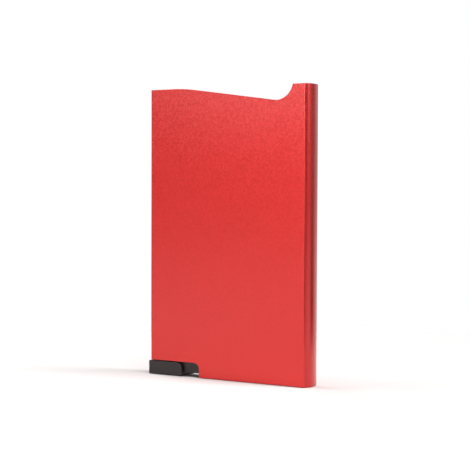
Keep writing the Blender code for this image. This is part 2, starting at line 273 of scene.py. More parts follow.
class Wiring:
    """A node tree that is wired up from left to right."""

    NODE_PITCH = 220

    def __init__(self, tree: bpy.types.NodeTree) -> None:
        """Start on a tree, with its old nodes cleared away."""
        self.tree = tree
        self.tree.nodes.clear()

    def add(self, kind: str, values: dict | None = None, **settings: object) -> bpy.types.Node:
        """Add a node.

        Args:
            kind: The node's type.
            values: What each input is set to, by its name or number. A socket is linked to it.
            **settings: The node's own properties.

        Returns:
            The node.
        """
        node = self.tree.nodes.new(kind)
        node.location = (self.NODE_PITCH * len(self.tree.nodes), 0)
        for name, value in settings.items():
            setattr(node, name, value)
        for name, value in (values or {}).items():
            self.feed(node.inputs[name], value)
        return node

    def feed(self, target: bpy.types.NodeSocket, value: object) -> None:
        """Link a socket to an input, or set the input to a plain value.

        Args:
            target: The input.
            value: The socket, or the plain value.
        """
        if isinstance(value, bpy.types.NodeSocket):
            self.tree.links.new(value, target)
        else:
            target.default_value = value

    def maths(self, operation: str, *values: object, clamp: bool = False) -> bpy.types.NodeSocket:
        """The result of a Math node on numbers or sockets."""
        node = self.add("ShaderNodeMath", dict(enumerate(values)), operation=operation, use_clamp=clamp)
        return node.outputs[0]

    def vector_maths(self, operation: str, *values: object) -> bpy.types.NodeOutputs:
        """The outputs of a Vector Math node: its vector is the first, and its number is "Value"."""
        return self.add("ShaderNodeVectorMath", dict(enumerate(values)), operation=operation).outputs

    def blend(self, share: object, first: object, second: object) -> bpy.types.NodeSocket:
        """Mix two colours.

        Args:
            share: How much of the second colour there is, from 0 to 1.
            first: The colour where the share is 0.
            second: The colour where it is 1.

        Returns:
            The mixed colour.
        """
        node = self.add("ShaderNodeMix", data_type="RGBA")
        colours = [socket for socket in node.inputs if socket.type == "RGBA"]
        for socket, value in zip([node.inputs[0]] + colours, (share, first, second)):
            self.feed(socket, value)
        return next(socket for socket in node.outputs if socket.type == "RGBA")

    def span(self, value: object, low: object, high: object, to_low: object = 0.0, to_high: object = 1.0,
             curve: str = "LINEAR") -> bpy.types.NodeSocket:
        """A value moved from one range to another and held within it."""
        values = {"Value": value, "From Min": low, "From Max": high, "To Min": to_low, "To Max": to_high}
        return self.add("ShaderNodeMapRange", values, interpolation_type=curve).outputs[0]

    def about(self, share: bpy.types.NodeSocket, middle: float,
              spread: float) -> bpy.types.NodeSocket | float:
        """A value about a middle, by a share from 0 to 1. Without a spread it is the plain middle."""
        return self.span(share, 0.0, 1.0, middle - spread, middle + spread) if spread else middle

    def noise(self, place: object, size: object, detail: float = 3.0) -> bpy.types.NodeSocket:
        """Lay noise over a piece.

        Args:
            place: The place on the piece.
            size: About how large its blotches are, in metres.
            detail: How many layers of finer noise lie over them.

        Returns:
            A value from 0 to 1.
        """
        scale = self.maths("DIVIDE", 1.0, size)
        values = {"Vector": place, "Scale": scale, "Detail": detail}
        return self.add("ShaderNodeTexNoise", values).outputs[0]

    def object_place(self) -> bpy.types.NodeSocket:
        """The place on the piece, in metres."""
        return self.add("ShaderNodeTexCoord").outputs["Object"]


class SharedEffect:
    """A shader node group that several finishes use. It is built once."""

    name = "effect"
    inputs: tuple[str, ...] = ()
    outputs: tuple[str, ...] = ()

    def group(self) -> bpy.types.NodeTree:
        """Build the node group the first time that it is asked for.

        Returns:
            The node group.
        """
        made = bpy.data.node_groups.get(self.name)
        if made is None:
            made = bpy.data.node_groups.new(self.name, "ShaderNodeTree")
            for name in self.inputs:
                made.interface.new_socket(name=name, in_out="INPUT", socket_type="NodeSocketFloat")
            for name in self.outputs:
                made.interface.new_socket(name=name, in_out="OUTPUT", socket_type="NodeSocketFloat")
            wiring = Wiring(made)
            entry = wiring.add("NodeGroupInput")
            wiring.add("NodeGroupOutput", self.wire(wiring, entry.outputs))
        return made

    def wire(self, wiring: Wiring, given: bpy.types.NodeOutputs) -> dict[str, bpy.types.NodeSocket]:
        """Wire the group from what it is given to its named outputs."""
        raise NotImplementedError

    def place(self, wiring: Wiring, values: dict[str, float]) -> bpy.types.NodeOutputs:
        """Put the group in a material, with that material's own values."""
        return wiring.add("ShaderNodeGroup", values, node_tree=self.group()).outputs


class Grain(SharedEffect):
    """Fine pits of one size and wider clumps of them, as blasting or a mould's texture leaves.

    Its tone can grow fainter towards the foot of the case: the stronger speckle higher up is then painted
    sparkle of the highlight that falls there.
    """

    SPARKLE_FADE_HEIGHT = 80.0 * MM
    PIT_LEVELS = (0.35, 0.65)
    MIDDLE_TONE = 0.5

    name = "surface grain"
    inputs = ("Grain Size", "Clump Size", "Clump Share", "Foot Share")
    outputs = ("Height", "Tone")

    def wire(self, wiring: Wiring, given: bpy.types.NodeOutputs) -> dict[str, bpy.types.NodeSocket]:
        """Mix the two noises into a height, and draw a tone with more contrast from it.

        Args:
            wiring: The group's node tree.
            given: The group's inputs.

        Returns:
            What each output puts out, by its name.
        """
        place = wiring.object_place()
        fine = wiring.noise(place, given["Grain Size"])
        clumps = wiring.noise(place, given["Clump Size"])
        clump_part = wiring.maths("MULTIPLY", clumps, given["Clump Share"])
        height = wiring.maths("ADD", fine, clump_part)
        whole = wiring.maths("ADD", given["Clump Share"], 1.0)
        level = wiring.maths("DIVIDE", height, whole)
        contrast = wiring.span(level, *self.PIT_LEVELS, -self.MIDDLE_TONE, self.MIDDLE_TONE)
        # The tone's contrast fades towards the foot: painted sparkle, strongest high up where the top
        # highlight falls.
        upward = wiring.add("ShaderNodeSeparateXYZ", {"Vector": place}).outputs["Z"]
        strength = wiring.span(upward, 0.0, self.SPARKLE_FADE_HEIGHT, given["Foot Share"], 1.0)
        tone = wiring.maths("MULTIPLY_ADD", contrast, strength, self.MIDDLE_TONE)
        return {"Height": height, "Tone": tone}


class EdgeWear(SharedEffect):
    """A mask that is 1 on edges where handling thins the finish, broken up by noise."""

    SAMPLES = 4
    ALIKE_WHERE_WHOLE = 0.99
    ALIKE_WHERE_WORN = 0.8
    PATCH_LEVELS = (0.35, 0.65)
    LEAST_WEAR = 0.35

    name = "edge wear"
    inputs = ("Reach", "Breakup Size")
    outputs = ("Mask",)

    def wire(self, wiring: Wiring, given: bpy.types.NodeOutputs) -> dict[str, bpy.types.NodeSocket]:
        """Compare the rounded normal with the true one, and break the result up.

        Args:
            wiring: The group's node tree.
            given: The group's inputs.

        Returns:
            What each output puts out, by its name.
        """
        rounded = wiring.add("ShaderNodeBevel", {"Radius": given["Reach"]}, samples=self.SAMPLES).outputs[0]
        true = wiring.add("ShaderNodeNewGeometry").outputs["Normal"]
        alike = wiring.vector_maths("DOT_PRODUCT", rounded, true)["Value"]
        edge = wiring.span(alike, self.ALIKE_WHERE_WHOLE, self.ALIKE_WHERE_WORN, curve="SMOOTHSTEP")
        patches = wiring.noise(wiring.object_place(), given["Breakup Size"])
        broken = wiring.span(patches, *self.PATCH_LEVELS, self.LEAST_WEAR, 1.0)
        return {"Mask": wiring.maths("MULTIPLY", edge, broken)}


class Dust(SharedEffect):
    """A mask of the little dust that lies on faces that look up, and in specks elsewhere."""

    UPWARD_FROM = 0.2
    LEAST_DUST = 0.25
    SPECK_DETAIL = 4.0
    SPECK_LEVELS = (0.55, 0.8)

    name = "dust"
    inputs = ("Speck Size",)
    outputs = ("Mask",)

    def wire(self, wiring: Wiring, given: bpy.types.NodeOutputs) -> dict[str, bpy.types.NodeSocket]:
        """Lay more of the specks on the faces that look up.

        Args:
            wiring: The group's node tree.
            given: The group's inputs.

        Returns:
            What each output puts out, by its name.
        """
        normal = wiring.add("ShaderNodeNewGeometry").outputs["Normal"]
        upward = wiring.add("ShaderNodeSeparateXYZ", {"Vector": normal}).outputs["Z"]
        lying = wiring.span(upward, self.UPWARD_FROM, 1.0, self.LEAST_DUST, 1.0)
        specks = wiring.noise(wiring.object_place(), given["Speck Size"], self.SPECK_DETAIL)
        seen = wiring.span(specks, *self.SPECK_LEVELS, curve="SMOOTHSTEP")
        return {"Mask": wiring.maths("MULTIPLY", lying, seen)}


class Handling(SharedEffect):
    """A slow unevenness of gloss, about zero, as fingers leave on a matt surface."""

    MIDDLE_LEVEL = 0.5

    name = "handling"
    inputs = ("Patch Size",)
    outputs = ("Gloss",)

    def wire(self, wiring: Wiring, given: bpy.types.NodeOutputs) -> dict[str, bpy.types.NodeSocket]:
        """Use one wide noise."""
        patches = wiring.noise(wiring.object_place(), given["Patch Size"])
        return {"Gloss": wiring.maths("SUBTRACT", patches, self.MIDDLE_LEVEL)}


@dataclass(frozen=True)
class Finish:
    """A surface with grain, worn edges, dust and handling, over a Principled BSDF."""

    name: str
    colour: Colour
    grain_colour: Colour
    worn_colour: Colour
    roughness: float
    roughness_spread: float
    metallic: float
    grain_size: float
    clump_size: float
    clump_share: float
    grain_depth: float
    wear_reach: float
    wear: float
    dust: float
    specular: float = 0.5
    coat: float = 0.0
    coat_spread: float = 0.0
    coat_roughness: float = 0.3
    coat_ior: float = 1.5
    dust_colour: Colour = (0.55, 0.53, 0.5, 1.0)
    patch_size: float = 18.0 * MM
    patch_gloss: float = 0.06
    foot_sparkle_share: float = 1.0

    def material(self) -> bpy.types.Material:
        """Make the material the first time that it is asked for.

        Returns:
            The material.
        """
        made = bpy.data.materials.get(self.name)
        if made is not None:
            return made
        made = bpy.data.materials.new(self.name)
        made.use_nodes = True
        wiring = Wiring(made.node_tree)
        grain_values = {"Grain Size": self.grain_size, "Clump Size": self.clump_size,
                        "Clump Share": self.clump_share, "Foot Share": self.foot_sparkle_share}
        grain = Grain().place(wiring, grain_values)
        wear_values = {"Reach": self.wear_reach, "Breakup Size": self.clump_size}
        worn = EdgeWear().place(wiring, wear_values)["Mask"]
        dust = Dust().place(wiring, {"Speck Size": self.clump_size})["Mask"]
        handled = Handling().place(wiring, {"Patch Size": self.patch_size})["Gloss"]
        worn_share = wiring.maths("MULTIPLY", worn, self.wear)
        dust_share = wiring.maths("MULTIPLY", dust, self.dust)
        # The grain's tone sets the colour: real grain, and on the red shell also painted sparkle that fades
        # towards the foot.
        toned = wiring.blend(grain["Tone"], self.colour, self.grain_colour)
        with_wear = wiring.blend(worn_share, toned, self.worn_colour)
        base = wiring.blend(dust_share, with_wear, self.dust_colour)
        rough = wiring.about(grain["Tone"], self.roughness, self.roughness_spread)
        rough = wiring.maths("MULTIPLY_ADD", handled, self.patch_gloss, rough)
        rough = wiring.maths("ADD", rough, dust_share, clamp=True)
        metallic = 0.0
        if self.metallic:
            metallic = wiring.maths("MULTIPLY", wiring.maths("SUBTRACT", 1.0, dust_share), self.metallic)
        bump_values = {"Height": grain["Height"], "Distance": self.grain_depth, "Strength": 1.0}
        bump = wiring.add("ShaderNodeBump", bump_values).outputs[0]
        shader_values = {
            "Base Color": base,
            "Roughness": rough,
            "Metallic": metallic,
            "Specular IOR Level": self.specular,
            "Coat Weight": wiring.about(grain["Tone"], self.coat, self.coat_spread),
            "Coat Roughness": self.coat_roughness,
            "Coat IOR": self.coat_ior,
            "Normal": bump,
        }
        shader = wiring.add("ShaderNodeBsdfPrincipled", shader_values).outputs[0]
        wiring.add("ShaderNodeOutputMaterial", {"Surface": shader})
        return made


# Its grain tone keeps a tenth of its contrast at the foot: the stronger speckle higher up is painted sparkle
# of the top highlight.
RED_ALUMINIUM = Finish(
    name="red blasted aluminium",
    colour=(0.57, 0.0163, 0.0130, 1.0), grain_colour=(0.71, 0.0223, 0.0179, 1.0),
    worn_colour=(0.80, 0.14, 0.13, 1.0), roughness=0.32, roughness_spread=0.02, metallic=1.0,
    grain_size=0.54 * MM, clump_size=0.9 * MM, clump_share=0.0, grain_depth=0.022 * MM,
    wear_reach=0.2 * MM, wear=0.12, dust=0.02,
    coat=0.74, coat_spread=0.25, coat_roughness=0.18, coat_ior=1.56, foot_sparkle_share=0.1)

LEVER_PLASTIC = Finish(
    name="lever black plastic", colour=(0.019, 0.0125, 0.011, 1.0), grain_colour=(0.023, 0.0155, 0.014, 1.0),
    worn_colour=(0.10, 0.095, 0.09, 1.0), roughness=0.36, roughness_spread=0.04, metallic=0.0,
    grain_size=0.1 * MM, clump_size=0.5 * MM, clump_share=0.6, grain_depth=0.012 * MM,
    wear_reach=0.2 * MM, wear=0.3, dust=0.05, specular=0.42)

BASE_PLASTIC = Finish(
    name="base black plastic", colour=(0.026, 0.027, 0.026, 1.0), grain_colour=(0.032, 0.033, 0.032, 1.0),
    worn_colour=(0.07, 0.07, 0.068, 1.0), roughness=0.58, roughness_spread=0.04, metallic=0.0,
    grain_size=0.12 * MM, clump_size=0.6 * MM, clump_share=0.6, grain_depth=0.012 * MM,
    wear_reach=0.15 * MM, wear=0.2, dust=0.06)

PIN_STEEL = Finish(
    name="ground steel", colour=(0.58, 0.58, 0.60, 1.0), grain_colour=(0.66, 0.66, 0.67, 1.0),
    worn_colour=(0.8, 0.8, 0.8, 1.0), roughness=0.28, roughness_spread=0.05, metallic=1.0,
    grain_size=0.05 * MM, clump_size=0.3 * MM, clump_share=0.5, grain_depth=0.002 * MM,
    wear_reach=0.1 * MM, wear=0.3, dust=0.02)

STRIP_RUBBER = Finish(
    name="soft black rubber", colour=(0.020, 0.020, 0.021, 1.0), grain_colour=(0.028, 0.028, 0.028, 1.0),
    worn_colour=(0.05, 0.05, 0.05, 1.0), roughness=0.78, roughness_spread=0.05, metallic=0.0,
    grain_size=0.15 * MM, clump_size=0.8 * MM, clump_share=0.8, grain_depth=0.015 * MM,
    wear_reach=0.15 * MM, wear=0.15, dust=0.12)


@dataclass(frozen=True)
class CaseTube:
    """The flat extruded tube of the case, whose section its insides follow."""

    width: float
    thickness: float
    height: float
    wall: float = 1.0 * MM
    side_radius: float = 8.5 * MM
    edge_radius: float = 0.9 * MM
    inner_radius: float = 0.3 * MM

    @classmethod
    def from_frame(cls) -> "CaseTube":
        """The tube with the size that the CAD shell has."""
        low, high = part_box("shell")
        return cls(width=high.x - low.x, thickness=high.y - low.y, height=high.z - low.z)

    @property
    def left(self) -> float:
        """X of the case's left side."""
        return -self.width / 2

    @property
    def right(self) -> float:
        """X of the case's right side."""
        return self.width / 2

    @property
    def core_half(self) -> float:
        """Half the thickness of what slides into the tube."""
        return self.thickness / 2 - self.wall - GAP

    def section(self, inset: float, corner_radius: float) -> Outline:
        """Draw the tube's section: two flats and two bowed sides.

        Args:
            inset: How far it is drawn in from the outside.
            corner_radius: The radius of the edges between the flats and the sides.

        Returns:
            The outline from above.
        """
        half = self.thickness / 2 - inset
        bow_radius = self.side_radius - inset
        bow_x = self.width / 2 - self.side_radius
        corner_y = half - corner_radius
        corner_x = bow_x + math.sqrt((bow_radius - corner_radius) ** 2 - corner_y**2)
        meet = math.atan2(corner_y, corner_x - bow_x)
        right_side = arc((corner_x, -corner_y), corner_radius, -QUARTER_TURN, -meet)
        right_side += arc((bow_x, 0), bow_radius, -meet, 0)[1:]
        right_side += arc((bow_x, 0), bow_radius, 0, meet)[1:-1]
        right_side += arc((corner_x, corner_y), corner_radius, meet, QUARTER_TURN)
        return right_side + [(-x, -y) for x, y in right_side]

    def core(self, name: str, low: float, high: float) -> bpy.types.Object:
        """A solid with the section of what slides into the tube."""
        return stock(name, self.section(self.wall + GAP, self.inner_radius), low, high, Facing.ABOVE)


@dataclass(frozen=True)
class Shell:
    """The anodised tube, with a sloping mouth, a scoop and a notch for the thumb piece."""

    tube: CaseTube
    crest_length: float = 10.5 * MM
    crest_radius: float = 60.0 * MM
    valley_depth: float = 5.0 * MM
    scoop_radius: float = 6.4 * MM
    horn_width: float = 5.95 * MM
    notch_length: float = 20.9 * MM
    notch_height: float = 4.9 * MM
    notch_radius: float = 2.0 * MM
    rim_radius: float = 0.15 * MM

    def mouth_outline(self) -> Outline:
        """Draw what is cut off the top: level, crest, slope, scoop and horn.

        Returns:
            The outline from the front.
        """
        tube = self.tube
        crest_centre = (tube.left + self.crest_length, tube.height - self.crest_radius)
        horn_rise = self.scoop_radius - self.valley_depth
        scoop_x = tube.right - self.horn_width - math.sqrt(self.scoop_radius**2 - horn_rise**2)
        scoop_centre = (scoop_x, tube.height + horn_rise)
        across = scoop_centre[0] - crest_centre[0]
        up = scoop_centre[1] - crest_centre[1]
        reach = math.hypot(across, up)
        slope = math.atan2(across, up) - math.acos((self.crest_radius + self.scoop_radius) / reach)
        crest = arc(crest_centre, self.crest_radius, QUARTER_TURN, QUARTER_TURN - slope)
        horn_angle = -math.asin(horn_rise / self.scoop_radius)
        scoop = arc(scoop_centre, self.scoop_radius, -QUARTER_TURN - slope, horn_angle)
        beyond_left = tube.left - OVERRUN
        beyond_right = tube.right + OVERRUN
        top = tube.height + 2 * OVERRUN
        level = [(beyond_left, tube.height)]
        above = [(beyond_right, tube.height), (beyond_right, top), (beyond_left, top)]
        return level + crest + scoop + above

    def notch_outline(self) -> Outline:
        """Draw what is cut from the lower left corner.

        Returns:
            The outline from the front.
        """
        beyond = self.tube.left - OVERRUN
        notch_right = self.tube.left + self.notch_length
        corner = (notch_right - self.notch_radius, self.notch_height - self.notch_radius)
        rounded = arc(corner, self.notch_radius, 0, QUARTER_TURN)
        return [(beyond, -OVERRUN), (notch_right, -OVERRUN)] + rounded + [(beyond, self.notch_height)]

    def build(self, finish: Finish) -> None:
        """Extrude the tube, bore it, cut its mouth and notch, and round its rims.

        Args:
            finish: The shell's finish.
        """
        tube = self.tube
        reach = tube.thickness / 2 + OVERRUN
        high = tube.height + OVERRUN
        shell = stock("case_shell", tube.section(0, tube.edge_radius), 0, high, Facing.ABOVE)
        bore = tube.section(tube.wall, tube.inner_radius)
        hollow = stock("hollow", bore, -OVERRUN, high + OVERRUN, Facing.ABOVE)
        mouth = stock("mouth", self.mouth_outline(), -reach, reach, Facing.FRONT)
        notch = stock("notch", self.notch_outline(), -reach, reach, Facing.FRONT)
        machine(shell, Step.CUT, [hollow, mouth, notch])
        round_edges(shell, self.rim_radius, Rounding.OUTSIDE)
        hand_over(shell, "case", "shell", finish.material())


@dataclass(frozen=True)
class Mechanism:
    """Places that the base and the lever share, worked out from the pivot."""

    tube: CaseTube
    pivot: Point
    travel: float
    base_recess: float = 1.0 * MM
    floor_thickness: float = 1.4 * MM
    cheek_thickness: float = 0.8 * MM
    cheek_radius: float = 2.3 * MM
    link_width: float = 2.0 * MM
    web_setback: float = 0.2 * MM
    pin_radius: float = 1.0 * MM
    card_width: float = 53.98 * MM
    card_ledge: float = 1.4 * MM

    @classmethod
    def from_frame(cls, tube: CaseTube) -> "Mechanism":
        """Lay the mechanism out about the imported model's own joint.

        Args:
            tube: The case's tube.

        Returns:
            The mechanism.
        """
        joint = next(joint for joint in frame["joints"] if joint["name"] == "lever_swing")
        x, _, z = joint["pos_m"]
        return cls(tube=tube, pivot=(x, z), travel=math.radians(joint["range_deg"][1]))

    @property
    def base_top(self) -> float:
        """Z that the cards rest on."""
        return self.pivot[1] + self.cheek_radius

    @property
    def bar_bottom(self) -> float:
        """Z of the base's lower side over the thumb piece."""
        return self.pivot[1] - self.cheek_radius

    @property
    def floor_top(self) -> float:
        """Z of the base's floor under the lever's arm."""
        return self.base_recess + self.floor_thickness

    @property
    def floor_left(self) -> float:
        """X of the floor's left end, clear of the lever's web as it swings."""
        swing = math.hypot(self.web_setback, self.pivot[1] - self.base_recess)
        return self.pivot[0] + swing + GAP

    @property
    def link_right(self) -> float:
        """X of the right side of the link between the floor and the cheek."""
        return self.floor_left + self.link_width

    @property
    def post_left(self) -> float:
        """X of the left side of the ledge under the cards' right edge."""
        return self.card_width / 2 - self.card_ledge

    @property
    def slot_half(self) -> float:
        """Half the width of the slot that the lever's hub turns in."""
        return self.tube.core_half - self.cheek_thickness

    @property
    def hub_radius(self) -> float:
        """Radius of the lever's hub, inside the cheeks."""
        return self.cheek_radius - GAP

    def bore(self, name: str) -> bpy.types.Object:
        """What is drilled out for the pin."""
        reach = self.tube.thickness
        return rod(name, self.pivot, self.pin_radius + PIN_GAP, -reach, reach)


@dataclass(frozen=True)
class Base:
    """The moulded base, in two halves that are pegged together."""

    places: Mechanism
    peg_radius: float = 0.8 * MM
    peg_reach: float = 1.2 * MM
    peg_inset: float = 6.5 * MM
    edge_radius: float = 0.12 * MM

    def outline(self) -> Outline:
        """Draw the base: a bar, a round cheek, a link with the lever's stop, a floor and a post.

        Returns:
            The outline from the front.
        """
        places = self.places
        pivot_x, pivot_z = places.pivot
        left, right = places.tube.left, places.tube.right
        beyond_web = GAP - places.web_setback
        meet = places.travel + math.asin(beyond_web / places.cheek_radius)
        cheek = arc(places.pivot, places.cheek_radius, -QUARTER_TURN, meet - QUARTER_TURN)
        stop_x, stop_z = turned((beyond_web, -places.cheek_radius), places.travel)
        fall = (places.floor_left - pivot_x - stop_x) / math.tan(places.travel)
        stop_low = max(pivot_z + stop_z - fall, places.base_recess + places.floor_thickness / 2)
        link_start = [(places.floor_left, stop_low), (places.floor_left, places.base_recess)]
        post = [(right, places.base_recess), (right, places.base_top),
                (places.post_left, places.base_top), (places.post_left, places.floor_top)]
        link_end = [(places.link_right, places.floor_top), (places.link_right, places.base_top)]
        return [(left, places.bar_bottom)] + cheek + link_start + post + link_end + [(left, places.base_top)]

    def peg_places(self) -> list[Point]:
        """Find places for the pegs, in the bar and in the post.

        Returns:
            The pegs' centres from the front.
        """
        tube = self.places.tube
        post_middle = (self.places.post_left + tube.right - tube.wall) / 2
        return [(x, self.places.pivot[1]) for x in (tube.left + self.peg_inset, post_middle)]

    def build_half(self, half: Half, name: str, node: str, finish: Finish) -> None:
        """Mould one half, with pegs on the front one and sockets in the rear one.

        Args:
            half: Which half.
            name: The piece's name.
            node: The CAD node that it stands for.
            finish: Its finish.
        """
        places = self.places
        tube = places.tube
        near = half.value * GAP / 2
        far = half.value * tube.thickness
        body = stock(name, self.outline(), min(near, far), max(near, far), Facing.FRONT)
        core = tube.core("core", places.base_recess - OVERRUN, places.base_top + OVERRUN)
        machine(body, Step.KEEP, [core])
        slot_left = places.pivot[0] - places.cheek_radius
        slot_outline = rectangle(slot_left, -OVERRUN, places.link_right + GAP, places.base_top + OVERRUN)
        slot = stock("slot", slot_outline, -places.slot_half, places.slot_half, Facing.FRONT)
        cuts = [slot, places.bore("bore")]
        if half is Half.REAR:
            depth = near + self.peg_reach + GAP
            cuts += [rod("socket", at, self.peg_radius + GAP, near - OVERRUN, depth)
                     for at in self.peg_places()]
        machine(body, Step.CUT, cuts)
        round_edges(body, self.edge_radius, Rounding.INSIDE)
        if half is Half.FRONT:
            length = near + GAP + self.peg_reach
            machine(body, Step.ADD, [rod("peg", at, self.peg_radius, near - self.peg_reach, length)
                                     for at in self.peg_places()])
        hand_over(body, "case", node, finish.material())

    def build(self, finish: Finish) -> None:
        """Make both halves."""
        self.build_half(Half.FRONT, "base_half_front", "base_front", finish)
        self.build_half(Half.REAR, "base_half_rear", "base_rear", finish)


@dataclass(frozen=True)
class Lever:
    """The moulded lever: a thumb piece as thick as the case, a web, a thin hub and a stepped arm.

    The thumb piece's play and radius bring its right end a little inside the CAD's, and the web's
    lift does that for the web's lower edge.
    """

    places: Mechanism
    notch_height: float
    thumb_inset: float = 0.1 * MM
    thumb_radius: float = 1.8 * MM
    thumb_play: float = 0.1 * MM
    thumb_edge: float = 0.18 * MM
    web_edge: float = 0.25 * MM
    web_lift: float = 0.25 * MM
    step_pitch: float = 4.0 * MM
    step_edge: float = 0.2 * MM
    tip_depth: float = 3.6 * MM
    card_steps: int = 6

    @property
    def web_right(self) -> float:
        """X of the web's right side."""
        return self.places.pivot[0] - self.places.web_setback

    @property
    def thumb_centre(self) -> Point:
        """The centre of the thumb piece's rounded corner, which swings clear of the shell's lower edge.

        Returns:
            The point from the front.
        """
        pivot_x, pivot_z = self.places.pivot
        z = self.notch_height - GAP - self.thumb_radius
        swing = pivot_z + GAP + self.thumb_play + self.thumb_radius
        return (pivot_x - math.sqrt(swing**2 - (pivot_z - z) ** 2), z)

    @property
    def arm_top(self) -> float:
        """Z of the arm's top, just under the cards."""
        return self.places.base_top - GAP

    @property
    def arm_left(self) -> float:
        """Where the full thickness of the arm starts, clear of the link as it swings.

        Returns:
            Its X.
        """
        pivot_x, pivot_z = self.places.pivot
        link = math.hypot(self.places.link_right - pivot_x, self.places.base_top - pivot_z)
        return pivot_x + link + GAP

    @property
    def arm_right(self) -> float:
        """Where the arm's tip is, clear of the post as it swings.

        Returns:
            Its X.
        """
        pivot_x, pivot_z = self.places.pivot
        drop = max(self.arm_top - pivot_z, pivot_z - self.arm_top + self.tip_depth)
        return pivot_x + math.sqrt((self.places.post_left - GAP - pivot_x) ** 2 - drop**2)

    def thumb_outline(self) -> Outline:
        """Draw the thumb piece, with its upper right corner rounded.

        Returns:
            The outline from the front.
        """
        left = self.places.tube.left + self.thumb_inset
        centre = self.thumb_centre
        corner = arc(centre, self.thumb_radius, 0, QUARTER_TURN)
        return [(left, 0), (centre[0] + self.thumb_radius, 0)] + corner + [(left, self.notch_height - GAP)]

    def spine_outline(self) -> Outline:
        """Draw the thin middle: the hub, the stem below it and the root inside the arm.

        Returns:
            The outline from the front.
        """
        places = self.places
        pivot_x, pivot_z = places.pivot
        low = places.base_recess + GAP
        root_low = places.floor_top + GAP + 2 * self.step_edge
        root_right = self.arm_left + self.step_pitch
        hub = arc(places.pivot, places.hub_radius, QUARTER_TURN, 2 * QUARTER_TURN)
        stem = [(pivot_x - places.hub_radius, low), (self.web_right - places.web_setback, low),
                (self.web_right + root_low - low, root_low)]
        root = [(self.arm_left + self.step_edge, root_low), (root_right, pivot_z),
                (root_right, self.arm_top - self.step_edge)]
        return hub + stem + root

    def arm_side_outline(self) -> Outline:
        """Draw the arm's side: its top is level, and it thins towards its tip.

        Returns:
            The outline from the front.
        """
        low = self.places.floor_top + GAP
        tip_low = self.arm_top - self.tip_depth
        return [(self.arm_left, low), (self.arm_right, tip_low), (self.arm_right, self.arm_top),
                (self.arm_left, self.arm_top)]

    def stair_outline(self) -> Outline:
        """Draw the arm's top: one step for each card, the front card's the shortest.

        Returns:
            The outline from above.
        """
        half = self.places.tube.core_half
        tread = 2 * half / self.card_steps
        points = [(self.arm_left - OVERRUN, half), (self.arm_left - OVERRUN, -half)]
        for card in range(self.card_steps):
            behind = self.card_steps - 1 - card
            reach = self.arm_right - behind * self.step_pitch if behind else self.arm_right + OVERRUN
            front = -half + card * tread
            points += [(reach, front), (reach, front + tread)]
        return points

    def arm(self) -> bpy.types.Object:
        """Cut the stepped arm and break its edges.

        Returns:
            A closed mesh object.
        """
        half = self.places.tube.core_half
        arm = stock("arm", self.stair_outline(), self.places.floor_top, self.places.base_top, Facing.ABOVE)
        side = stock("arm_side", self.arm_side_outline(), -half - OVERRUN, half + OVERRUN, Facing.FRONT)
        machine(arm, Step.KEEP, [side])
        round_edges(arm, self.step_edge, Rounding.INSIDE)
        return arm

    def build(self, finish: Finish) -> None:
        """Mould the lever round its hub.

        Args:
            finish: The lever's finish.
        """
        places = self.places
        half = places.tube.core_half
        hub_half = places.slot_half - GAP
        thumb_half = places.tube.thickness / 2
        lever = stock("card_lever", self.spine_outline(), -hub_half, hub_half, Facing.FRONT)
        thumb = stock("thumb", self.thumb_outline(), -thumb_half, thumb_half, Facing.FRONT)
        round_edges(thumb, self.thumb_edge, Rounding.THUMB)
        web_low = places.base_recess + self.web_lift
        web_outline = rectangle(self.thumb_centre[0], web_low, self.web_right, self.notch_height)
        web = stock("web", web_outline, -half, half, Facing.FRONT)
        round_edges(web, self.web_edge, Rounding.OUTSIDE)
        machine(lever, Step.ADD, [web, thumb, self.arm()])
        machine(lever, Step.CUT, [places.bore("bore")])
        hand_over(lever, "lever", "eject_lever", finish.material())


@dataclass(frozen=True)
class PivotPin:
    """The steel pin that the lever turns on."""

    places: Mechanism
    chamfer: float = 0.15 * MM

    def build(self, finish: Finish) -> None:
        """Cut the pin to the base's thickness and break its ends.

        Args:
            finish: The pin's finish.
        """
        half = self.places.tube.core_half
        pin = rod("steel_pin", self.places.pivot, self.places.pin_radius, -half, half)
        round_edges(pin, self.chamfer, Rounding.INSIDE)
        hand_over(pin, "case", "pivot_pin", finish.material())


@dataclass(frozen=True)
class GripStrip:
    """A soft strip along an inner side of the case, with lips that press on the cards' edges."""

    places: Mechanism
    backing: float = 1.2 * MM
    top_inset: float = 5.0 * MM
    lip_thickness: float = 0.6 * MM
    lip_count: int = 3
    card_play: float = 0.2 * MM
    edge_radius: float = 0.12 * MM

    def outline(self, side: Side) -> Outline:
        """Draw the strip: a backing along the wall and lips towards the cards.

        Args:
            side: Which side of the case it lines.

        Returns:
            The outline from above.
        """
        tube = self.places.tube
        half = tube.core_half
        lip_x = self.places.card_width / 2 + self.card_play
        backing_x = tube.right - tube.wall - GAP - self.backing
        pitch = (2 * half - self.lip_thickness) / self.lip_count
        points = [(tube.right, half + GAP), (backing_x, half + GAP)]
        for lip in range(self.lip_count):
            middle = (self.lip_count - 1) / 2 * pitch - lip * pitch
            high = middle + self.lip_thickness / 2
            low = middle - self.lip_thickness / 2
            points += [(backing_x, high), (lip_x, high), (lip_x, low), (backing_x, low)]
        points += [(backing_x, -half - GAP), (tube.right, -half - GAP)]
        return [(side.value * x, y) for x, y in points]

    def build(self, side: Side, name: str, node: str, finish: Finish) -> None:
        """Cut one strip to length.

        Args:
            side: Which side of the case it lines.
            name: The piece's name.
            node: The CAD node that it stands for.
            finish: Its finish.
        """
        low = self.places.base_top + GAP
        high = self.places.tube.height - self.top_inset
        strip = stock(name, self.outline(side), low, high, Facing.ABOVE)
        core = self.places.tube.core("core", low - OVERRUN, high + OVERRUN)
        machine(strip, Step.KEEP, [core])
        round_edges(strip, self.edge_radius, Rounding.INSIDE)
        hand_over(strip, "case", node, finish.material())


